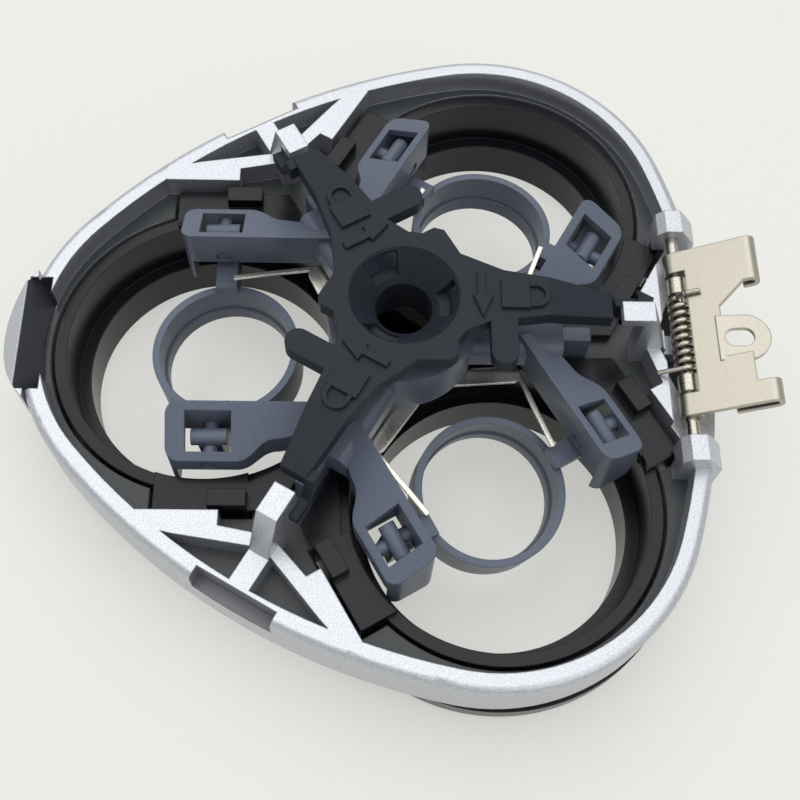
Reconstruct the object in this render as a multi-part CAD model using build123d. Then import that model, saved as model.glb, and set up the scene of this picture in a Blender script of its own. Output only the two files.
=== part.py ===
from build123d import *
import os
from math import atan2, cos, degrees, radians, sin, sqrt, tan

# Head holder of a three-head rotary shaver, seen from the inside: +Z is the inner side, z = 0 is the
# skin side on which it stands, the origin is on the centre axis and +X points at the hinge.
# Lengths are millimetres and angles are degrees.

# Layout: three head lobes, with a locking hook half-way between each two of them
LOBE_NAMES = ("far", "left", "near")
PITCH = 360 / len(LOBE_NAMES)
HALF_PITCH = PITCH / 2
LOBES = {name: HALF_PITCH + PITCH * place for place, name in enumerate(LOBE_NAMES)}
HOOK_ANGLES = [PITCH * place for place in range(len(LOBE_NAMES))]
PLAIN_HOOKS = HOOK_ANGLES[1:]
LATCH_ANGLE = LOBES["left"]

# Frame shell
frame_lobe_centre = 17.25
frame_lobe_radius = 20.0
frame_side_radius = 66.3
frame_bottom_z = 5.2
deck_z = 10.4
rim_width = 1.85
rim_height = 2.7
rim_round = 0.8
foot_round = 1.2
prong_tip_radius = 13.5
edge_recess_width = 8.4
edge_recess_depth = 1.4
edge_recess_height = 2.6
rib_start = 6.0
rib_step = 2.0
rib_end = 5.6
rib_thickness = 1.5
rib_depth = 2.3
rib_root = 3.5

# Latch lip at the left lobe
latch_reach = 1.95
latch_crest = 0.15
latch_width = 14.0
latch_bottom_z = 8.0
latch_slope = 40.0
latch_notch = 0.9

# Hooks that the lock star turns under
hook_inner_radius = 20.9
hook_overhang = 2.1
hook_depth = 3.1
hook_foot = 5.1
hook_width = 2.1
hook_height = 5.65
hook_lip = 1.1

# Head cups
cup_offset = 1.65
cup_bore = 14.4
guard_bore = 13.1
guard_seat_z = 4.75
cup_wall = 0.7
cup_flange = 1.2
cup_flange_thickness = 1.1
cup_foot_land = 0.8
cup_gap = 0.4
skin_plate_radius = 18.5
skin_plate_edge_z = 2.0
skin_plate_top_z = 4.2
skin_plate_gap = 0.35
lug_length = 8.8
lug_reach = 17.7
lug_drop = 3.0
lug_rise = 1.0
lug_gap = 0.5
snap_length = 3.6
snap_width = 1.7
snap_rise = 1.3
wing_thickness = 0.5
wing_gap = 1.3
wing_start = 9.2
trunnion_radius = 0.9
trunnion_z = 9.0
trunnion_length = 1.5

# Cutter rings, each hung on two pivots
ring_offset = 1.1
ring_radius = 7.4
ring_bore = 6.65
ring_lip_bore = 6.45
ring_height = 4.8
ring_lip_height = 1.6
ring_top_z = 9.7
ring_pivot_offset = 0.9
ring_pivot_z = 13.0
pivot_pin_radius = 0.7
pivot_pin_play = 0.15
ring_arm_width = 2.2
ring_arm_rise = 1.0
ring_arm_drop = 1.2
post_inner = 10.6
post_outer = 12.0
post_bar_radius = 0.8
post_bar_length = 3.4
RING_TILT = {"far": 6.0, "left": 3.0, "near": 10.0}

# Retaining frame
hood_near = 8.9
hood_far = 13.9
hood_near_z = 16.7
hood_far_z = 14.1
hood_wall = 0.8
hood_bottom_z = 12.0
hood_end_bottom_z = 8.6
hood_outer_length = 4.0
hood_inner_length = 11.0
hood_shoulder = 2.4
hood_waist = 6.4
hood_waist_far = 12.0
hood_root_far = 11.2
hood_round = 1.2
window_inner = 2.1
window_outer = 2.2
carrier_hub_radius = 7.2
carrier_bottom_z = 12.2
carrier_top_z = 17.6
root_width = 6.0
root_reach = 15.5
root_top_z = 16.0
root_bottom_z = 13.0
root_round = 1.0
seat_leg_inner = 15.0
seat_leg_outer = 18.6
seat_leg_width = 1.5

# Lock star
star_rise = 3.8
star_thickness = 1.6
star_hub_radius = 6.8
star_arm_flat = 13.5
star_arm_clear = 1.25
star_arm_drop = 1.75
star_arm_mid = 9.3
star_root_half = 4.4
star_mid_half = 2.7
star_flat_half = 2.0
star_end_half = 1.3
star_tab_inner = 7.9
star_tab_width = 2.5
star_tab_reach = 7.1
star_shoulder_length = 4.9
star_shoulder_reach = 6.8
star_shoulder_corner = 0.7
funnel_top_radius = 5.2
funnel_wall = 0.8
funnel_depth = 2.8
star_bore = 2.7
star_sleeve_wall = 0.8
star_sleeve_bottom_z = 14.2
funnel_window_start = 3.3
funnel_window_end = 5.6
funnel_window_angle = 44.0
funnel_window_roof = 0.35
finger_inner_y = 1.3
finger_width = 0.9
finger_overlap = 1.7
finger_root = 1.2
finger_gap = 0.35

# Leaf spring
leaf_thickness = 0.25
leaf_ring_radius = 6.9
leaf_bar_width = 1.7
leaf_bar_start = 5.0
leaf_bar_end = 8.6
leaf_bar_y = 7.6
leaf_finger_start = 7.8
leaf_finger_y = 8.35
leaf_finger_end = 1.0
leaf_finger_end_y = 7.0
leaf_finger_width = 0.5
leaf_ring_gap = 0.4

# Hinge on the +X side
pin_inset = 3.3
pin_rise = 0.7
pin_radius = 0.6
pin_half_length = 12.6
ear_inner = 11.2
ear_outer = 13.8
ear_radius = 1.6
hinge_channel_back = 1.6
hinge_channel_depth = 1.2
bracket_angle = 28.0
bracket_half_width = 9.0
bracket_sheet = 0.5
knuckle_inner = 6.7
bracket_throat = 1.15
bracket_waist = 4.05
far_roll_reach = 7.2
far_roll_inner = 4.2
near_roll_reach = 7.8
near_roll_inner = 6.7
bracket_step = 6.6
waist_far_y = 2.0
waist_near_y = 3.6
curl_radius = 0.9
far_curl_tail = 0.8
near_curl_tail = 3.6
tab_angle = 22.0
tab_reach = 8.6
tab_width = 4.8
tab_middle = -1.6
tab_hole_length = 2.8
tab_hole_width = 1.9
tab_hole_start = 4.25
sleeve_radius = 1.0
sleeve_inner = 4.5
sleeve_outer = 6.3
spring_wire = 0.5
spring_radius = 0.95
spring_half_length = 3.9
spring_turns = 9
spring_leg = 2.6
spring_elbow = 0.26

# Clearances, and how far joined pieces and cutting tools run past a face
running_fit = 0.05
pin_fit = 0.02
weld = 0.5
overcut = 1.0


def turned(shape, angle):
    return Rot(0, 0, angle) * shape


def block(x0, x1, y0, y1, z0, z1):
    box = Box(x1 - x0, y1 - y0, z1 - z0)
    return Pos((x0 + x1) / 2, (y0 + y1) / 2, (z0 + z1) / 2) * box


def prism(points, z0, z1):
    face = make_face(Polyline(*points, close=True))
    return Pos(0, 0, z0) * extrude(face, z1 - z0, dir=(0, 0, 1))


def pillar(radius, z0, z1, x=0.0, y=0.0):
    return Pos(x, y, (z0 + z1) / 2) * Cylinder(radius, z1 - z0)


def bar_along_y(radius, y0, y1, x, z):
    return Pos(x, (y0 + y1) / 2, z) * Rot(90, 0, 0) * Cylinder(radius, y1 - y0)


def rod(start, end, radius):
    length = (end - start).length
    base = (Align.CENTER, Align.CENTER, Align.MIN)
    return Plane(start, z_dir=end - start) * Cylinder(radius, length, align=base)


def side_profile(points, y0, y1):
    # a closed outline of (x, z) points, drawn out from y0 to y1
    face = make_face(Polyline(*[(x, 0, z) for x, z in points], close=True))
    return Pos(0, y0, 0) * extrude(face, y1 - y0, dir=(0, 1, 0))


def polar(radius, angle):
    return Vector(radius * cos(radians(angle)), radius * sin(radians(angle)))


def strip(start, end, width, z0, z1):
    # a flat bar in plan from one point to another
    along = Vector(*end) - Vector(*start)
    angle = degrees(atan2(along.Y, along.X))
    bar = block(0, along.length, -width / 2, width / 2, z0, z1)
    return Pos(*start) * turned(bar, angle)


def side_centre_offset(centre, lobe_radius, side_radius):
    # how far behind the axis a side arc has its centre, to be tangent to its two lobe arcs
    reach = side_radius - lobe_radius
    return (sqrt(4 * reach**2 - 3 * centre**2) - centre) / 2


def trefoil(centre, lobe_radius, side_radius):
    # three lobe arcs joined by three wide side arcs
    offset = side_centre_offset(centre, lobe_radius, side_radius)
    flat = side_radius - offset

    def join(lobe_angle, hook_angle):
        middle = polar(centre, lobe_angle)
        reach = middle - polar(-offset, hook_angle)
        return middle + reach.normalized() * lobe_radius

    edges = []
    for lobe_angle in LOBES.values():
        before = lobe_angle - HALF_PITCH
        after = lobe_angle + HALF_PITCH
        lobe_end = join(lobe_angle, after)
        tip = polar(centre + lobe_radius, lobe_angle)
        edges.append(ThreePointArc(join(lobe_angle, before), tip, lobe_end))
        next_start = join(after + HALF_PITCH, after)
        edges.append(ThreePointArc(lobe_end, polar(flat, after), next_start))
    return make_face(Curve() + edges)


def save(shape, name):
    shape.label = name
    export_step(shape, f"parts/{name}.step")


# Places and heights that several pieces share
frame_tip_radius = frame_lobe_centre + frame_lobe_radius
frame_flat_radius = frame_side_radius - side_centre_offset(
    frame_lobe_centre, frame_lobe_radius, frame_side_radius
)
rim_top_z = deck_z + rim_height
hook_top_z = rim_top_z + hook_height
cup_centre_radius = frame_lobe_centre + cup_offset
cup_outer = cup_bore + cup_wall
cup_flange_radius = cup_bore + cup_flange
cup_hole = cup_flange_radius + cup_gap
lug_bottom_z = deck_z - lug_drop
lug_top_z = deck_z + lug_rise
pocket_reach = lug_reach + lug_gap
bearing_y = pocket_reach + running_fit
trunnion_end = lug_reach + trunnion_length
ring_centre_radius = cup_centre_radius - ring_offset
ring_pivot_radius = cup_centre_radius - ring_pivot_offset
hood_inner_near = hood_near + hood_wall
hood_inner_far = hood_far - hood_wall
star_top_z = carrier_top_z + star_rise
star_bottom_z = star_top_z - star_thickness
star_arm_end = hook_inner_radius - star_arm_clear
star_sleeve_radius = star_bore + star_sleeve_wall
funnel_bottom_z = star_top_z - funnel_depth
finger_top_z = hook_top_z - hook_lip - finger_gap
pin_x = frame_flat_radius - pin_inset
pin_z = rim_top_z + pin_rise


# Frame shell: one moulding with the rim, deck, hooks, ribs, hinge ears and latch lip
def make_frame_shell():
    outer = trefoil(frame_lobe_centre, frame_lobe_radius, frame_side_radius)
    inner = trefoil(
        frame_lobe_centre, frame_lobe_radius - rim_width, frame_side_radius - rim_width
    )
    shell = Pos(0, 0, frame_bottom_z) * extrude(outer, rim_top_z - frame_bottom_z, dir=(0, 0, 1))
    shell = fillet(shell.faces().sort_by(Axis.Z)[0].edges(), foot_round)
    shell -= Pos(0, 0, deck_z) * extrude(inner, rim_height, dir=(0, 0, 1))
    shell = fillet(shell.faces().sort_by(Axis.Z)[-1].outer_wire().edges(), rim_round)

    # latch lip: a crest with slopes outwards and inwards, between two notches
    lip_root = frame_tip_radius - rim_width / 2
    lip_end = frame_tip_radius + latch_reach
    crest = frame_tip_radius + latch_crest
    half = latch_width / 2
    lip_plan = Curve() + [
        ThreePointArc((lip_root, -half), (lip_end, 0), (lip_root, half)),
        Line((lip_root, half), (lip_root, -half)),
    ]
    lip_height = rim_top_z - latch_bottom_z
    lip = Pos(0, 0, latch_bottom_z) * extrude(make_face(lip_plan), lip_height, dir=(0, 0, 1))
    drop = (lip_end - crest) * tan(radians(latch_slope))
    outward = [(crest, rim_top_z), (lip_end, rim_top_z - drop), (lip_end, rim_top_z)]
    inward = [
        (crest, rim_top_z),
        (frame_tip_radius - rim_width - weld, deck_z),
        (frame_tip_radius - rim_width - weld, rim_top_z),
    ]
    slope_half = half - latch_notch
    slopes = side_profile(outward, -half, half) + side_profile(inward, -slope_half, slope_half)
    shell += turned(lip, LATCH_ANGLE)
    shell -= turned(slopes, LATCH_ANGLE)

    # ribs beside each lobe, which carry the cups' trunnions
    middle = cup_centre_radius
    rib_plan = [
        (middle - rib_start, bearing_y + rib_depth),
        (middle - rib_step, bearing_y + rib_thickness),
        (middle - rib_step, bearing_y),
        (middle + rib_end, bearing_y),
        (middle + rib_end, bearing_y + rib_thickness),
        (middle + rib_step, bearing_y + rib_depth),
        (middle - rib_start + weld, bearing_y + rib_root),
    ]
    rib = prism(rib_plan, deck_z - overcut, rim_top_z)
    for angle in LOBES.values():
        shell += turned(rib, angle)
        shell += turned(mirror(rib, Plane.XZ), angle)

    # hooks on tapered posts, with a foot that ties each post to the rim
    hook_post = hook_inner_radius + hook_overhang
    hook_back = hook_inner_radius + hook_foot
    post = side_profile(
        [
            (hook_post, deck_z - overcut),
            (hook_back, deck_z - overcut),
            (hook_back, rim_top_z),
            (hook_inner_radius + hook_depth, hook_top_z),
            (hook_inner_radius, hook_top_z),
            (hook_inner_radius, hook_top_z - hook_lip),
            (hook_post, hook_top_z - hook_lip),
        ],
        -hook_width / 2,
        hook_width / 2,
    )
    post += block(
        hook_back - weld,
        frame_flat_radius - rim_width / 2,
        -hook_width / 2,
        hook_width / 2,
        deck_z - overcut,
        rim_top_z,
    )
    for angle in HOOK_ANGLES:
        shell += turned(post, angle)

    # recess in the outer edge of the two sides without a hinge
    recess = block(
        frame_flat_radius - edge_recess_depth,
        frame_flat_radius + overcut,
        -edge_recess_width / 2,
        edge_recess_width / 2,
        rim_top_z - edge_recess_height,
        rim_top_z + overcut,
    )
    for angle in PLAIN_HOOKS:
        shell -= turned(recess, angle)

    # hinge channel, then the two ears with blind holes for the pin
    shell -= block(
        pin_x - hinge_channel_back,
        frame_flat_radius + overcut,
        -ear_inner,
        ear_inner,
        rim_top_z - hinge_channel_depth,
        hook_top_z,
    )
    ear_plan = [
        (pin_x - ear_radius, deck_z - overcut),
        (frame_flat_radius - rim_round, deck_z - overcut),
        (frame_flat_radius - rim_round, rim_top_z),
        (pin_x + ear_radius / 2, pin_z + ear_radius),
        (pin_x - ear_radius / 2, pin_z + ear_radius),
        (pin_x - ear_radius, pin_z + ear_radius / 2),
    ]
    for y0, y1 in ((-ear_outer, -ear_inner), (ear_inner, ear_outer)):
        shell += side_profile(ear_plan, y0, y1)
    shell -= bar_along_y(pin_radius + pin_fit, -pin_half_length, pin_half_length, pin_x, pin_z)

    # cup holes, lug pockets, trunnion bearings and the open middle
    hole = pillar(cup_hole, frame_bottom_z - overcut, deck_z + overcut, x=cup_centre_radius)
    pocket_half = lug_length / 2 + lug_gap
    pocket = block(
        cup_centre_radius - pocket_half,
        cup_centre_radius + pocket_half,
        -pocket_reach,
        pocket_reach,
        frame_bottom_z - overcut,
        lug_top_z + lug_gap,
    )
    bearing_end = trunnion_end + running_fit
    bearing = bar_along_y(
        trunnion_radius + running_fit, -bearing_end, bearing_end, cup_centre_radius, trunnion_z
    )
    for angle in LOBES.values():
        shell -= turned(hole + pocket + bearing, angle)
    shell -= pillar(prong_tip_radius, frame_bottom_z - overcut, deck_z + overcut)
    return shell


# Head cup: flanged bowl with a stepped bore for the guard, a skin plate and two pivot lugs
def make_head_cup(angle):
    flange_z = deck_z - cup_flange_thickness
    profile = [
        (guard_bore, 0),
        (guard_bore + cup_foot_land, 0),
        (cup_outer, skin_plate_edge_z / 2),
        (cup_outer, flange_z),
        (cup_flange_radius, flange_z),
        (cup_flange_radius, deck_z),
        (cup_bore, deck_z),
        (cup_bore, guard_seat_z),
        (guard_bore, guard_seat_z),
    ]
    bowl_face = make_face(Polyline(*[(r, 0, z) for r, z in profile], close=True))
    bowl = revolve(bowl_face, Axis.Z)

    plate_profile = [
        (guard_bore + cup_foot_land, 0),
        (skin_plate_radius, skin_plate_edge_z),
        (skin_plate_radius, skin_plate_top_z),
        (guard_bore + cup_foot_land, skin_plate_top_z),
    ]
    plate_face = make_face(Polyline(*[(r, 0, z) for r, z in plate_profile], close=True))
    plate = Pos(cup_centre_radius, 0, 0) * revolve(plate_face, Axis.Z)
    apex = skin_plate_gap / sin(radians(HALF_PITCH))
    wedge_length = cup_centre_radius + skin_plate_radius
    wedge_half = (wedge_length - apex) * tan(radians(HALF_PITCH))
    wedge = prism(
        [(apex, 0), (wedge_length, -wedge_half), (wedge_length, wedge_half)],
        -overcut,
        skin_plate_top_z + overcut,
    )
    plate = plate & wedge

    lugs = block(
        cup_centre_radius - lug_length / 2,
        cup_centre_radius + lug_length / 2,
        -lug_reach,
        lug_reach,
        lug_bottom_z,
        lug_top_z,
    )
    lugs -= pillar(cup_outer - weld, lug_bottom_z, lug_top_z, x=cup_centre_radius)
    cup = Pos(cup_centre_radius, 0, 0) * bowl + plate + lugs

    # trunnions, snap blocks and the wings that cover the deck beside each hook
    lug_start = cup_centre_radius - lug_length / 2
    slant = tan(radians(HALF_PITCH))
    line_y = wing_gap / cos(radians(HALF_PITCH))
    wing_plan = [
        (wing_start, sqrt(cup_flange_radius**2 - (cup_centre_radius - wing_start) ** 2)),
        (wing_start, wing_start * slant - line_y),
        ((lug_reach + line_y) / slant, lug_reach),
        (lug_start + weld, lug_reach),
        (lug_start + weld, cup_outer),
    ]
    wing = prism(wing_plan, lug_top_z - wing_thickness, lug_top_z)
    snap = block(
        lug_start,
        lug_start + snap_length,
        lug_reach - snap_width,
        lug_reach,
        lug_top_z - weld,
        lug_top_z + snap_rise,
    )
    trunnion = bar_along_y(
        trunnion_radius, lug_reach - weld, trunnion_end, cup_centre_radius, trunnion_z
    )
    side = wing + snap + trunnion
    return turned(cup + side + mirror(side, Plane.XZ), angle)


# Cutter ring: a stepped ring on two side arms, each with a post, a cross bar and pivot pins
def make_cutter_ring(angle, tilt):
    ring_bottom_z = ring_top_z - ring_height
    ring = pillar(ring_radius, ring_bottom_z, ring_top_z, x=ring_centre_radius)
    half = ring_arm_width / 2
    arm = block(
        ring_pivot_radius - half,
        ring_pivot_radius + half,
        ring_bore,
        post_outer,
        ring_top_z - ring_arm_drop,
        ring_top_z + ring_arm_rise,
    )
    bar_z = ring_pivot_z + post_bar_radius
    arm += block(
        ring_pivot_radius - half,
        ring_pivot_radius + half,
        post_inner,
        post_outer,
        ring_top_z,
        bar_z,
    )
    bar_y = (post_inner + post_outer) / 2
    arm += Pos(ring_pivot_radius, bar_y, bar_z) * Rot(0, 90, 0) * Cylinder(post_bar_radius, post_bar_length)
    pin_start = hood_near + pivot_pin_play
    pin_end = hood_far - pivot_pin_play
    arm += bar_along_y(pivot_pin_radius, pin_start, pin_end, ring_pivot_radius, ring_pivot_z)
    ring += arm + mirror(arm, Plane.XZ)
    ring -= pillar(ring_bore, ring_bottom_z + ring_lip_height, bar_z, x=ring_centre_radius)
    ring -= pillar(ring_lip_bore, ring_bottom_z, ring_top_z, x=ring_centre_radius)
    pivot = Pos(ring_pivot_radius, 0, ring_pivot_z)
    return turned(pivot * Rot(0, tilt, 0) * pivot.inverse() * ring, angle)


# Retaining frame: hub, three forked roots and six hooded arms that carry the ring pivots
def make_retaining_frame():
    hood_end = ring_pivot_radius + hood_outer_length
    hood_root = ring_pivot_radius - hood_inner_length
    shoulder = ring_pivot_radius - hood_shoulder
    waist = ring_pivot_radius - hood_waist
    plan = make_face(
        Curve()
        + [
            Line((hood_root, hood_near), (hood_end, hood_near)),
            Line((hood_end, hood_near), (hood_end, hood_far)),
            Line((hood_end, hood_far), (shoulder, hood_far)),
            Spline(
                (shoulder, hood_far),
                (waist, hood_waist_far),
                tangents=((-1, 0), (-1, 0)),
            ),
            Line((waist, hood_waist_far), (hood_root, hood_root_far)),
            Line((hood_root, hood_root_far), (hood_root, hood_near)),
        ]
    )
    slope = (hood_near_z - hood_far_z) / (hood_far - hood_near)
    roof = hood_wall * sqrt(1 + slope**2)
    outside = [
        (hood_near, hood_end_bottom_z),
        (hood_near, hood_near_z),
        (hood_far, hood_far_z),
        (hood_far, hood_end_bottom_z),
    ]
    inside = [
        (hood_inner_near, hood_end_bottom_z),
        (hood_inner_near, hood_near_z - slope * hood_wall - roof),
        (hood_inner_far, hood_far_z + slope * hood_wall - roof),
        (hood_inner_far, hood_end_bottom_z),
    ]
    outside_face = make_face(Polyline(*[(0, y, z) for y, z in outside], close=True))
    inside_face = make_face(Polyline(*[(0, y, z) for y, z in inside], close=True))
    length = hood_end - hood_root
    arm = Pos(0, 0, hood_end_bottom_z) * extrude(plan, hood_near_z - hood_end_bottom_z, dir=(0, 0, 1))
    end_edges = arm.faces().sort_by(Axis.X)[-1].edges().filter_by(Axis.Z)
    arm = fillet(end_edges, hood_round)
    arm &= Pos(hood_root, 0, 0) * extrude(outside_face, length, dir=(1, 0, 0))
    arm -= block(
        hood_root, hood_end - hood_wall, hood_near, hood_far, hood_end_bottom_z, hood_bottom_z
    )
    arm -= Pos(shoulder, 0, 0) * extrude(inside_face, hood_end - hood_wall - shoulder, dir=(1, 0, 0))
    arm -= block(
        ring_pivot_radius - window_inner,
        ring_pivot_radius + window_outer,
        hood_inner_near,
        hood_inner_far,
        ring_pivot_z,
        hood_near_z,
    )
    arm -= bar_along_y(
        pivot_pin_radius + running_fit, hood_near, hood_far, ring_pivot_radius, ring_pivot_z
    )

    carrier = pillar(carrier_hub_radius, carrier_bottom_z, carrier_top_z)
    root = block(0, root_reach, -root_width / 2, root_width / 2, root_bottom_z, root_top_z)
    root = fillet(root.faces().sort_by(Axis.Z)[-1].edges().filter_by(Axis.X), root_round)
    root += block(
        seat_leg_inner,
        seat_leg_outer,
        -seat_leg_width / 2,
        seat_leg_width / 2,
        deck_z,
        root_bottom_z + overcut,
    )
    for angle in HOOK_ANGLES:
        carrier += turned(root, angle)
    for angle in LOBES.values():
        carrier += turned(arm, angle)
        carrier += turned(mirror(arm, Plane.XZ), angle)
    carrier -= pillar(star_sleeve_radius + running_fit, carrier_bottom_z, carrier_top_z)
    return carrier


# Lock star: funnel hub with three arms, each with a bent finger and a spring tab
def make_lock_star():
    shoulder_inner_y = star_shoulder_reach - star_mid_half
    arm_plan = [
        (0, star_root_half),
        (star_bore + star_mid_half, star_root_half),
        (star_arm_mid, star_mid_half),
        (star_arm_flat, star_flat_half),
        (star_arm_end, star_end_half),
        (star_arm_end, -star_end_half),
        (star_arm_flat, -star_flat_half),
        (star_tab_inner, -star_mid_half),
        (star_shoulder_length, -shoulder_inner_y),
        (star_shoulder_length, star_shoulder_corner - star_shoulder_reach),
        (star_shoulder_length - star_shoulder_corner, -star_shoulder_reach),
        (0, -star_shoulder_reach),
    ]
    arm = prism(arm_plan, star_bottom_z - star_arm_drop, star_top_z)
    tab_round = star_tab_width / 2
    tab_middle_x = star_tab_inner + tab_round
    arm += block(
        star_tab_inner,
        star_tab_inner + star_tab_width,
        tab_round - star_tab_reach,
        0,
        star_bottom_z,
        star_top_z,
    )
    arm += pillar(tab_round, star_bottom_z, star_top_z, x=tab_middle_x, y=tab_round - star_tab_reach)
    arm_side = side_profile(
        [
            (-star_hub_radius, star_top_z),
            (star_arm_flat, star_top_z),
            (star_arm_end, star_top_z - star_arm_drop),
            (star_arm_end, star_bottom_z - star_arm_drop),
            (star_arm_flat, star_bottom_z),
            (-star_hub_radius, star_bottom_z),
        ],
        -star_arm_end,
        star_arm_end,
    )
    arm &= arm_side
    arm_end_z = star_top_z - star_arm_drop
    finger_bottom_z = finger_top_z - hook_lip
    arm += side_profile(
        [
            (star_arm_end - finger_root, arm_end_z),
            (star_arm_end, arm_end_z),
            (hook_inner_radius - finger_gap, finger_top_z),
            (hook_inner_radius + finger_overlap, finger_top_z),
            (hook_inner_radius + finger_overlap, finger_bottom_z),
            (hook_inner_radius - finger_gap, finger_bottom_z),
            (star_arm_end - finger_gap, arm_end_z - star_thickness),
            (star_arm_end - finger_root, arm_end_z - star_thickness),
        ],
        finger_inner_y,
        finger_inner_y + finger_width,
    )
    arm += block(
        star_arm_end - finger_root,
        star_arm_end,
        0,
        finger_inner_y + finger_width,
        arm_end_z - star_thickness,
        arm_end_z,
    )
    star = pillar(star_hub_radius, star_bottom_z, star_top_z)
    for angle in HOOK_ANGLES:
        star += turned(arm, angle)

    funnel_outside = [
        (0, star_bottom_z + weld),
        (funnel_top_radius + funnel_wall, star_bottom_z + weld),
        (star_sleeve_radius, funnel_bottom_z - weld),
        (star_sleeve_radius, star_sleeve_bottom_z),
        (0, star_sleeve_bottom_z),
    ]
    funnel_inside = [
        (0, star_top_z),
        (funnel_top_radius, star_top_z),
        (star_bore, funnel_bottom_z),
        (star_bore, star_sleeve_bottom_z),
        (0, star_sleeve_bottom_z),
    ]
    outside_face = make_face(Polyline(*[(r, 0, z) for r, z in funnel_outside], close=True))
    inside_face = make_face(Polyline(*[(r, 0, z) for r, z in funnel_inside], close=True))
    star += revolve(outside_face, Axis.Z)
    star -= revolve(inside_face, Axis.Z)

    # windows through the funnel wall, one under each arm
    window_depth = star_thickness + funnel_wall
    window_bottom_z = star_top_z - window_depth
    window_height = window_depth - funnel_window_roof
    window = pillar(funnel_window_end, window_bottom_z, window_bottom_z + window_height)
    window -= pillar(funnel_window_start, window_bottom_z, window_bottom_z + window_height)
    spread = funnel_window_end * tan(radians(funnel_window_angle / 2))
    window &= prism(
        [(0, 0), (funnel_window_end, -spread), (funnel_window_end, spread)],
        window_bottom_z,
        star_top_z,
    )
    for angle in HOOK_ANGLES:
        star -= turned(window, angle)
    return star


# Leaf spring: one stamping under the hub, with two slanting bars and fingers for each ring
def make_leaf_spring():
    top = carrier_bottom_z
    bottom = top - leaf_thickness
    finger_end = ring_pivot_radius - leaf_finger_end
    half = strip(
        (leaf_bar_start, 0), (leaf_bar_end, leaf_bar_y), leaf_bar_width, bottom, top
    )
    half += strip(
        (leaf_finger_start, leaf_finger_y),
        (finger_end, leaf_finger_end_y),
        leaf_finger_width,
        bottom,
        top,
    )
    half += pillar(leaf_bar_width / 2, bottom, top, x=leaf_bar_end, y=leaf_bar_y)
    leaf = pillar(leaf_ring_radius, bottom, top)
    for angle in LOBES.values():
        leaf += turned(half, angle)
        leaf += turned(mirror(half, Plane.XZ), angle)
    leaf -= pillar(star_sleeve_radius + leaf_ring_gap, bottom, top)
    return leaf


# Hinge pin and the two sleeves that centre the spring
def make_hinge_pin():
    length = pin_half_length - pin_fit
    return bar_along_y(pin_radius, -length, length, pin_x, pin_z)


def make_sleeve(side):
    y0, y1 = sorted((side * sleeve_inner, side * sleeve_outer))
    sleeve = bar_along_y(sleeve_radius, y0, y1, pin_x, pin_z)
    return sleeve - bar_along_y(pin_radius + pin_fit, y0, y1, pin_x, pin_z)


# Hinge bracket: a stamped plate with two knuckles, two rolled hooks and a bent tab with a slot
def make_hinge_bracket():
    knuckle_radius = pin_radius + running_fit + bracket_sheet
    top = knuckle_radius
    under = top - bracket_sheet
    width = bracket_half_width
    outline = [
        (0, width),
        (far_roll_reach, width),
        (far_roll_reach, far_roll_inner),
        (bracket_step, far_roll_inner),
        (bracket_waist, waist_far_y),
        (bracket_waist, -waist_near_y),
        (bracket_step, -waist_near_y),
        (bracket_step, -near_roll_inner),
        (near_roll_reach, -near_roll_inner),
        (near_roll_reach, -width),
        (0, -width),
        (0, -knuckle_inner),
        (bracket_throat, -knuckle_inner),
        (bracket_throat, knuckle_inner),
        (0, knuckle_inner),
    ]
    plate = prism(outline, under, top)
    for y0, y1 in ((-width, -knuckle_inner), (knuckle_inner, width)):
        plate += bar_along_y(knuckle_radius, y0, y1, 0, 0)
        plate -= bar_along_y(pin_radius + running_fit, y0, y1, 0, 0)

    # rolled ends
    for start, y0, y1, tail in (
        (far_roll_reach, far_roll_inner, width, far_curl_tail),
        (near_roll_reach, -width, -near_roll_inner, near_curl_tail),
    ):
        middle = top - curl_radius
        low = middle - curl_radius
        roll = bar_along_y(curl_radius, y0, y1, start, middle)
        roll -= bar_along_y(curl_radius - bracket_sheet, y0, y1, start, middle)
        roll -= block(start - curl_radius, start, y0, y1, low, top)
        roll += block(start - tail, start, y0, y1, low, low + bracket_sheet)
        plate += roll

    # tab with an oval slot, bent down from the waist
    tab_round = tab_width / 2
    tab = block(
        bracket_waist - weld,
        tab_reach - tab_round,
        tab_middle - tab_round,
        tab_middle + tab_round,
        under,
        top,
    )
    tab += pillar(tab_round, under, top, x=tab_reach - tab_round, y=tab_middle)
    slot_round = tab_hole_width / 2
    slot_end = tab_hole_start + tab_hole_length
    slot = block(
        tab_hole_start + slot_round,
        slot_end - slot_round,
        tab_middle - slot_round,
        tab_middle + slot_round,
        under,
        top,
    )
    for x in (tab_hole_start + slot_round, slot_end - slot_round):
        slot += pillar(slot_round, under, top, x=x, y=tab_middle)
    tab -= slot
    fold = Pos(bracket_waist, 0, top)
    plate += fold * Rot(0, tab_angle, 0) * fold.inverse() * tab
    return Pos(pin_x, 0, pin_z) * Rot(0, -bracket_angle, 0) * plate


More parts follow.
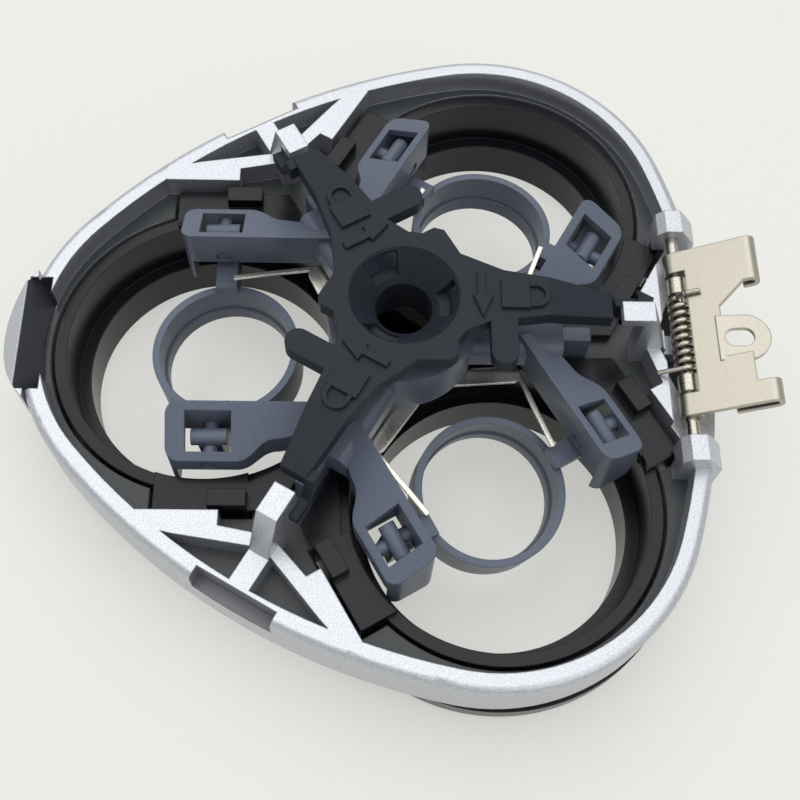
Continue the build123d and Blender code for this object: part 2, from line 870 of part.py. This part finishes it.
# Torsion spring: a close coil round the pin, with one leg on the bracket and one towards the frame
def make_torsion_spring():
    length = 2 * spring_half_length
    wire = spring_wire / 2
    start_angle = 90 + bracket_angle
    coil_path = turned(Helix(length / spring_turns, length, spring_radius), start_angle)
    section = Plane(coil_path @ 0, z_dir=coil_path % 0) * Circle(wire)
    spring = sweep(section, path=coil_path)
    along = polar(1, bracket_angle)
    above = polar(1, start_angle)
    plate_top = pin_radius + running_fit + bracket_sheet
    seat = plate_top + wire + pin_fit
    start = above * spring_radius
    bend = along * (bracket_throat - wire) + above * (seat + pin_fit)
    tip = along * (bracket_throat + spring_leg / 2) + above * seat
    end = start + Vector(0, 0, length)
    inward_tip = end - along * spring_leg
    for leg_start, leg_end in ((start, bend), (bend, tip), (end, inward_tip)):
        spring += Pos(*leg_start) * Sphere(spring_elbow)
        spring += rod(leg_start, leg_end, wire)
    return Pos(pin_x, spring_half_length, pin_z) * Rot(90, 0, 0) * spring


os.makedirs("parts", exist_ok=True)
save(make_frame_shell(), "frame_shell")
for lobe_name, lobe_angle in LOBES.items():
    save(make_head_cup(lobe_angle), f"head_cup_{lobe_name}")
    save(make_cutter_ring(lobe_angle, RING_TILT[lobe_name]), f"cutter_ring_{lobe_name}")
save(make_retaining_frame(), "retaining_frame")
save(make_lock_star(), "lock_star")
save(make_leaf_spring(), "leaf_spring")
save(make_hinge_pin(), "hinge_pin")
save(make_sleeve(1), "spring_sleeve_far")
save(make_sleeve(-1), "spring_sleeve_near")
save(make_hinge_bracket(), "hinge_bracket")
save(make_torsion_spring(), "torsion_spring")
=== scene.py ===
import math

import bmesh
import bpy
from mathutils import Matrix, Vector


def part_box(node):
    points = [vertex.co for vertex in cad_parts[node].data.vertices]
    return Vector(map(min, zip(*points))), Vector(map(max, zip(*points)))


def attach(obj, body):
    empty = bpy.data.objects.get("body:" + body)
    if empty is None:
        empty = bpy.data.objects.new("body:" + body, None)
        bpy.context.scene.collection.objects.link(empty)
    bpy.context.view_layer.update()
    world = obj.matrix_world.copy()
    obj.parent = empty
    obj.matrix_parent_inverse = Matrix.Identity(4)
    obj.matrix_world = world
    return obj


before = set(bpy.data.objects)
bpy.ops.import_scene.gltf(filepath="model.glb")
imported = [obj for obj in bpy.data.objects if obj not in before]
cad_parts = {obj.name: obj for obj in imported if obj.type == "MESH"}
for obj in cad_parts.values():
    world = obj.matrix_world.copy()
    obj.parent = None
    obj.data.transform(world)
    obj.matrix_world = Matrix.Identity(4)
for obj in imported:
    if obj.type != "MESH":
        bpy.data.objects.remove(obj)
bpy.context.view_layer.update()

# Frame shell: one ABS moulding with the rim, deck, ribs, hooks and latch lip. It is sprayed with
# silver paint. It is drawn a darker grey in the edge recesses, and painted shade makes it dark grey
# on the slope behind the latch and on the deep deck.
# Sizes are in millimetres unless their comment says otherwise, and MM brings them to metres.
MM = 0.001
GRAIN_DETAIL = 3.0
GRAIN_STRENGTH = 0.35
GRAIN_STOPS = (0.32, 0.68)
EDGE_ROUND = 0.18
EDGE_SAMPLES = 4


def linear(hex_colour):
    """A display colour such as "C6C9CE" as the linear RGBA that a shader socket takes."""
    parts = [int(hex_colour[i:i + 2], 16) / 255 for i in (0, 2, 4)]
    return [p / 12.92 if p <= 0.04045 else ((p + 0.055) / 1.055) ** 2.4 for p in parts] + [1.0]


def add_node(tree, kind, links=(), **settings):
    """Adds a node, sets its properties or sockets by name, and links (source, own socket) pairs."""
    node = tree.nodes.new(kind)
    for name, value in settings.items():
        if hasattr(node, name):
            setattr(node, name, value)
        else:
            node.inputs[name.replace("_", " ")].default_value = value
    for source, target in links:
        tree.links.new(source, node.inputs[target])
    return node


def grained_finish(name, light, dark, rough, grain_mm, depth_mm, metallic=0.0, specular=0.5):
    """A Principled finish whose fine grain gives the bump, the colour change and the roughness."""
    material = bpy.data.materials.new(name)
    material.use_nodes = True
    tree = material.node_tree
    shader = tree.nodes["Principled BSDF"]
    shader.inputs["Metallic"].default_value = metallic
    shader.inputs["Specular IOR Level"].default_value = specular
    place = add_node(tree, "ShaderNodeTexCoord").outputs["Object"]
    grain = add_node(
        tree, "ShaderNodeTexNoise", [(place, "Vector")],
        Scale=1 / (grain_mm * MM), Detail=GRAIN_DETAIL,
    ).outputs["Fac"]
    edge = add_node(tree, "ShaderNodeBevel", samples=EDGE_SAMPLES, Radius=EDGE_ROUND * MM)
    bump = add_node(
        tree, "ShaderNodeBump", [(grain, "Height"), (edge.outputs["Normal"], "Normal")],
        Strength=GRAIN_STRENGTH, Distance=depth_mm * MM,
    )
    tree.links.new(bump.outputs["Normal"], shader.inputs["Normal"])
    ramp = add_node(tree, "ShaderNodeValToRGB", [(grain, "Fac")])
    for stop, position, colour in zip(ramp.color_ramp.elements, GRAIN_STOPS, (dark, light)):
        stop.position = position
        stop.color = linear(colour)
    tree.links.new(ramp.outputs["Color"], shader.inputs["Base Color"])
    gloss = add_node(
        tree, "ShaderNodeMapRange", [(grain, "Value")], To_Min=rough[0], To_Max=rough[1]
    )
    tree.links.new(gloss.outputs["Result"], shader.inputs["Roughness"])
    return material


def dress(material, *names):
    """Gives the named pieces of the frame this material alone."""
    for name in names:
        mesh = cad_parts[name].data
        mesh.materials.clear()
        mesh.materials.append(material)


# Metal flakes in the paint sparkle a little; the flake grain is drawn coarse enough to show.
PAINT_METALLIC, DARK_AND_SHADE_METALLIC = 0.7, 0.1
silver_paint = grained_finish(
    "silver_paint_on_abs", light="D6D8DC", dark="B7BAC0", rough=(0.3, 0.44),
    grain_mm=0.16, depth_mm=0.04, metallic=PAINT_METALLIC,
)
dress(silver_paint, "frame_shell")

# These patches are dull and dark: the edge recesses are a darker grey, and the slope behind the
# latch is painted shade. A patch has an inner and an outer radius, a half width, a lowest z and a
# colour. Turns are in degrees about Z, from the hinge's side of the shell.
EDGE_RECESS = (29.6, 31.6, 4.3, 10.3, "76787D")
LATCH_SLOPE_SHADE = (34.8, 37.3, 6.2, 10.45, "3C3E42")
# Painted shade on the deep deck: faces that look up and lie below DECK_TOP are painted dark grey.
DECK_TOP, DECK_FACING, DECK_PAINTED_SHADE = 10.45, 0.9, "303436"
OTHER_SIDES = (120, 240)
LATCH_TURN = 180
shade_and_dark_patches = [(turn, EDGE_RECESS) for turn in OTHER_SIDES] + [(LATCH_TURN, LATCH_SLOPE_SHADE)]
tree = silver_paint.node_tree
place = add_node(tree, "ShaderNodeTexCoord").outputs["Object"]
shade_and_dark_areas = []
for turn, (inner, outer, half, low, shade) in shade_and_dark_patches:
    local = add_node(
        tree, "ShaderNodeMapping", [(place, "Vector")], Rotation=(0, 0, -math.radians(turn))
    ).outputs["Vector"]
    axes = add_node(tree, "ShaderNodeSeparateXYZ", [(local, "Vector")]).outputs
    width = add_node(tree, "ShaderNodeMath", [(axes["Y"], 0)], operation="ABSOLUTE").outputs[0]
    patch = None
    for source, operation, limit in (
        (axes["X"], "GREATER_THAN", inner),
        (axes["X"], "LESS_THAN", outer),
        (width, "LESS_THAN", half),
        (axes["Z"], "GREATER_THAN", low),
    ):
        test = add_node(tree, "ShaderNodeMath", [(source, 0)], operation=operation)
        test.inputs[1].default_value = limit * MM
        inside = test.outputs[0]
        if patch is not None:
            inside = add_node(
                tree, "ShaderNodeMath", [(patch, 0), (inside, 1)], operation="MULTIPLY"
            ).outputs[0]
        patch = inside
    shade_and_dark_areas.append((patch, shade))
height = add_node(tree, "ShaderNodeSeparateXYZ", [(place, "Vector")]).outputs["Z"]
deck_low = add_node(tree, "ShaderNodeMath", [(height, 0)], operation="LESS_THAN")
deck_low.inputs[1].default_value = DECK_TOP * MM
facing = add_node(tree, "ShaderNodeNewGeometry").outputs["True Normal"]
upward_part = add_node(tree, "ShaderNodeSeparateXYZ", [(facing, "Vector")]).outputs["Z"]
looks_up = add_node(tree, "ShaderNodeMath", [(upward_part, 0)], operation="GREATER_THAN")
looks_up.inputs[1].default_value = DECK_FACING
deck = add_node(
    tree, "ShaderNodeMath", [(deck_low.outputs[0], 0), (looks_up.outputs[0], 1)],
    operation="MULTIPLY",
).outputs[0]
shade_and_dark_areas.append((deck, DECK_PAINTED_SHADE))

# A Mix node keeps its colours in these sockets, which share their names with its other kinds.
MIX_UNDER, MIX_OVER, MIX_RESULT = 6, 7, 2
shader = tree.nodes["Principled BSDF"]
colour = shader.inputs["Base Color"].links[0].from_socket
# The darker patches and the painted shade go over the silver one by one, less metallic.
shade_and_dark_mask = None
for mask, shade in shade_and_dark_areas:
    mix = add_node(
        tree, "ShaderNodeMix", [(mask, "Factor"), (colour, MIX_UNDER)], data_type="RGBA"
    )
    mix.inputs[MIX_OVER].default_value = linear(shade)
    colour = mix.outputs[MIX_RESULT]
    if shade_and_dark_mask is not None:
        mask = add_node(
            tree, "ShaderNodeMath", [(shade_and_dark_mask, 0), (mask, 1)], operation="MAXIMUM"
        ).outputs[0]
    shade_and_dark_mask = mask
tree.links.new(colour, shader.inputs["Base Color"])
metal = add_node(
    tree, "ShaderNodeMapRange", [(shade_and_dark_mask, "Value")], To_Min=PAINT_METALLIC, To_Max=DARK_AND_SHADE_METALLIC
)
tree.links.new(metal.outputs["Result"], shader.inputs["Metallic"])

# Head cups: black ABS bowls, moulded in one piece with their skin plates and lugs. Each rocks on
# two trunnions in the shell's ribs.
# Polished mould walls give a smooth satin black that only mirrors bright things at its edges.
black_abs = grained_finish(
    "black_satin_abs", light="15171C", dark="121318", rough=(0.22, 0.28),
    grain_mm=0.4, depth_mm=0.004, specular=0.28,
)
dress(black_abs, "head_cup_far", "head_cup_left", "head_cup_near")

# Cutter rings and retaining frame: blue-grey nylon, filled with glass and moulded. The rings hang
# on pins in the frame's hoods.
# The glass fibres leave a faint mottle under a slight sheen, with bright lines along the edges.
blue_nylon = grained_finish(
    "blue_grey_glass_filled_nylon", light="6E7687", dark="666E7E", rough=(0.3, 0.4),
    grain_mm=0.25, depth_mm=0.015, specular=0.32,
)
dress(blue_nylon, "cutter_ring_far", "cutter_ring_left", "cutter_ring_near", "retaining_frame")

# Lock star: one charcoal nylon moulding with a funnel in its hub. It is turned by hand to lock its
# fingers under the hooks.
# A spark-eroded mould gives a matt grain, which breaks the light up into fine specks.
charcoal_nylon = grained_finish(
    "charcoal_grained_nylon", light="2C313A", dark="21262D", rough=(0.45, 0.6),
    grain_mm=0.18, depth_mm=0.05, specular=0.22,
)
dress(charcoal_nylon, "lock_star")

# Signs on the star: an arrow and a padlock on each arm, which show which way it locks. They are
# raised in the same moulding, so they have the star's own grain and colour. The first arm points
# along X, to the hinge.
SIGN_RISE = 0.35
SIGN_SINK = 0.05
SHACKLE_START, SHACKLE_MIDDLE = 11.55, 12.2
SHACKLE_OUTER, SHACKLE_INNER = 1.3, 0.85
SHACKLE_STEPS = 20
arrow = [
    (6.75, 2.4), (6.75, -0.15), (6.35, -0.15), (7.2, -2.4), (8.2, -0.15), (7.5, -0.15), (7.5, 2.4),
]
padlock_body = [(8.95, 1.6), (8.95, -1.45), (11.6, -1.45), (11.6, 1.6)]
star_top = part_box("lock_star")[1][2]


def of_kind(kind, parts):
    """The vertices or the faces among the parts that a mesh step gives back."""
    return [part for part in parts if isinstance(part, kind)]


signs = bmesh.new()
for outline in (arrow, padlock_body):
    corners = [signs.verts.new((x * MM, y * MM, star_top - SIGN_SINK * MM)) for x, y in outline]
    plate = signs.faces.new(corners)
    raised = bmesh.ops.extrude_face_region(signs, geom=[plate])["geom"]
    top = of_kind(bmesh.types.BMVert, raised)
    bmesh.ops.translate(signs, verts=top, vec=(0, 0, (SIGN_SINK + SIGN_RISE) * MM))
section = [
    signs.verts.new((SHACKLE_START * MM, -r * MM, star_top + z * MM))
    for r, z in (
        (SHACKLE_INNER, -SIGN_SINK), (SHACKLE_OUTER, -SIGN_SINK),
        (SHACKLE_OUTER, SIGN_RISE), (SHACKLE_INNER, SIGN_RISE),
    )
]
leg = bmesh.ops.extrude_face_region(signs, geom=[signs.faces.new(section)])["geom"]
leg_end = of_kind(bmesh.types.BMVert, leg)
bmesh.ops.translate(signs, verts=leg_end, vec=((SHACKLE_MIDDLE - SHACKLE_START) * MM, 0, 0))
bow = bmesh.ops.spin(
    signs, geom=of_kind(bmesh.types.BMFace, leg),
    cent=(SHACKLE_MIDDLE * MM, 0, 0), axis=(0, 0, 1), angle=math.pi, steps=SHACKLE_STEPS,
)["geom_last"]
bow_end = of_kind(bmesh.types.BMFace, bow)
far_leg = bmesh.ops.extrude_face_region(signs, geom=bow_end)["geom"]
far_end = of_kind(bmesh.types.BMVert, far_leg)
bmesh.ops.translate(signs, verts=far_end, vec=((SHACKLE_START - SHACKLE_MIDDLE) * MM, 0, 0))
first_arm = signs.verts[:] + signs.edges[:] + signs.faces[:]
for turn in OTHER_SIDES:
    copy = bmesh.ops.duplicate(signs, geom=first_arm)["geom"]
    bmesh.ops.rotate(
        signs, verts=of_kind(bmesh.types.BMVert, copy),
        cent=(0, 0, 0), matrix=Matrix.Rotation(math.radians(turn), 3, "Z"),
    )
bmesh.ops.recalc_face_normals(signs, faces=signs.faces[:])
sign_mesh = bpy.data.meshes.new("star_signs")
signs.to_mesh(sign_mesh)
signs.free()
sign_mesh.materials.append(charcoal_nylon)
star_signs = bpy.data.objects.new("star_signs", sign_mesh)
bpy.context.collection.objects.link(star_signs)
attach(star_signs, "star")

# Leaf spring: one stamping of stainless strip, held between the hub and the rings, on which its
# fingers press.
# Rolled strip is bright and almost a mirror, a little clouded by the rolls.
bright_strip = grained_finish(
    "bright_stainless_strip", light="D6D4CC", dark="BBB8AE", rough=(0.18, 0.3),
    grain_mm=0.25, depth_mm=0.008, metallic=1.0,
)
dress(bright_strip, "leaf_spring")

# Hinge pin, sleeves and torsion spring: drawn spring steel. The pin runs through the ears, and the
# coil sits round it between the two sleeves.
# Drawing leaves the wire bright but darker than the strip, with soft glints on its rounds.
drawn_wire = grained_finish(
    "drawn_spring_steel", light="C2BDB1", dark="A39D91", rough=(0.2, 0.32),
    grain_mm=0.2, depth_mm=0.01, metallic=1.0,
)
dress(drawn_wire, "torsion_spring", "hinge_pin", "spring_sleeve_far", "spring_sleeve_near")

# Hinge bracket: sheet steel, stamped and rolled round the pin, with two hooks and a bent tab.
# Its nickel plating is warm and satin, with a faint cloudiness.
nickel_plate = grained_finish(
    "nickel_plated_sheet_steel", light="B4AFA2", dark="ADA89B", rough=(0.3, 0.4),
    grain_mm=0.5, depth_mm=0.01, metallic=1.0,
)
dress(nickel_plate, "hinge_bracket")

# Floor: a plain pale sheet of paper under the part, just clear of its feet. Its own white is mixed
# in where it is looked at or mirrored, so it stays pale and still takes the part's shadow.
FLOOR_HALF = 1500
FLOOR_DROP = 0.02
PAPER_WHITE = "F8F8F3"
PAPER_SHARE = 0.5


def looked_at(tree):
    """A socket that is 1 for what the camera sees straight, mirrored or through glass, else 0."""
    rays = add_node(tree, "ShaderNodeLightPath").outputs
    seen = rays["Is Camera Ray"]
    for kind in ("Is Glossy Ray", "Is Transmission Ray"):
        seen = add_node(
            tree, "ShaderNodeMath", [(seen, 0), (rays[kind], 1)], operation="MAXIMUM"
        ).outputs[0]
    return seen


floor_bmesh = bmesh.new()
bmesh.ops.create_grid(floor_bmesh, x_segments=1, y_segments=1, size=FLOOR_HALF * MM)
bmesh.ops.translate(floor_bmesh, verts=floor_bmesh.verts[:], vec=(0, 0, -FLOOR_DROP * MM))
floor_mesh = bpy.data.meshes.new("floor")
floor_bmesh.to_mesh(floor_mesh)
floor_bmesh.free()
floor = bpy.data.objects.new("floor", floor_mesh)
bpy.context.collection.objects.link(floor)
paper = grained_finish(
    "pale_paper", light="F6F6F0", dark="F3F3ED", rough=(0.65, 0.75), grain_mm=0.6, depth_mm=0.01
)
tree = paper.node_tree
share = add_node(
    tree, "ShaderNodeMapRange", [(looked_at(tree), "Value")], To_Min=0.0, To_Max=PAPER_SHARE
)
white = add_node(tree, "ShaderNodeEmission", Color=linear(PAPER_WHITE), Strength=1.0)
lit = tree.nodes["Principled BSDF"].outputs["BSDF"]
blend = add_node(
    tree, "ShaderNodeMixShader",
    [(share.outputs["Result"], 0), (lit, 1), (white.outputs["Emission"], 2)],
)
tree.links.new(blend.outputs["Shader"], tree.nodes["Material Output"].inputs["Surface"])
floor_mesh.materials.append(paper)

# Soft studio light: a large key high up behind, a weak front fill and a pale room. The room is
# brighter where it is looked at or mirrored than as a lamp. A lamp has its place and its size in
# metres and its power in watts.
ROOM_COLOUR = "F4F6F8"
ROOM_LIGHT, ROOM_SEEN = 0.32, 0.7
for name, spot, size, power in (
    ("key_light", (-0.06, 0.17, 0.54), 0.75, 2.4),
    ("fill_light", (0.25, -0.3, 0.4), 0.4, 0.4),
):
    lamp = bpy.data.lights.new(name, "AREA")
    lamp.size = size
    lamp.energy = power
    holder = bpy.data.objects.new(name, lamp)
    holder.location = spot
    holder.rotation_euler = Vector(spot).to_track_quat("Z", "Y").to_euler()
    bpy.context.collection.objects.link(holder)
room = bpy.data.worlds.new("pale_room")
room.use_nodes = True
tree = room.node_tree
background = tree.nodes["Background"]
background.inputs["Color"].default_value = linear(ROOM_COLOUR)
strength = add_node(
    tree, "ShaderNodeMapRange", [(looked_at(tree), "Value")], To_Min=ROOM_LIGHT, To_Max=ROOM_SEEN
)
tree.links.new(strength.outputs["Result"], background.inputs["Strength"])
bpy.context.scene.world = room
bpy.context.scene.view_settings.view_transform = "Standard"

# Camera: close above the near side and turned a little, as in the photograph. It has square
# pixels, and its place and turn were fitted to the part's main points.
SENSOR_WIDTH = 36
NEAREST_SEEN = 1
azimuth, elevation, roll = math.radians(-4.222), math.radians(65), math.radians(4.48)
distance, target = 113.69 * MM, Vector((-0.139, -6.45, 12.0)) * MM
focal_pixels, frame_pixels = 1169.0, 800
back = Vector((
    math.sin(azimuth) * math.cos(elevation),
    -math.cos(azimuth) * math.cos(elevation),
    math.sin(elevation),
))
level = Vector((math.cos(azimuth), math.sin(azimuth), 0))
upward = back.cross(level)
right = level * math.cos(roll) + upward * math.sin(roll)
up = upward * math.cos(roll) - level * math.sin(roll)
facing_matrix = Matrix((right, up, back)).transposed().to_4x4()
lens = bpy.data.cameras.new("camera")
lens.sensor_width = SENSOR_WIDTH
lens.lens = focal_pixels * lens.sensor_width / frame_pixels
lens.clip_start = NEAREST_SEEN * MM
camera = bpy.data.objects.new("camera", lens)
camera.matrix_world = Matrix.Translation(target + back * distance) @ facing_matrix
bpy.context.collection.objects.link(camera)
bpy.context.scene.camera = camera
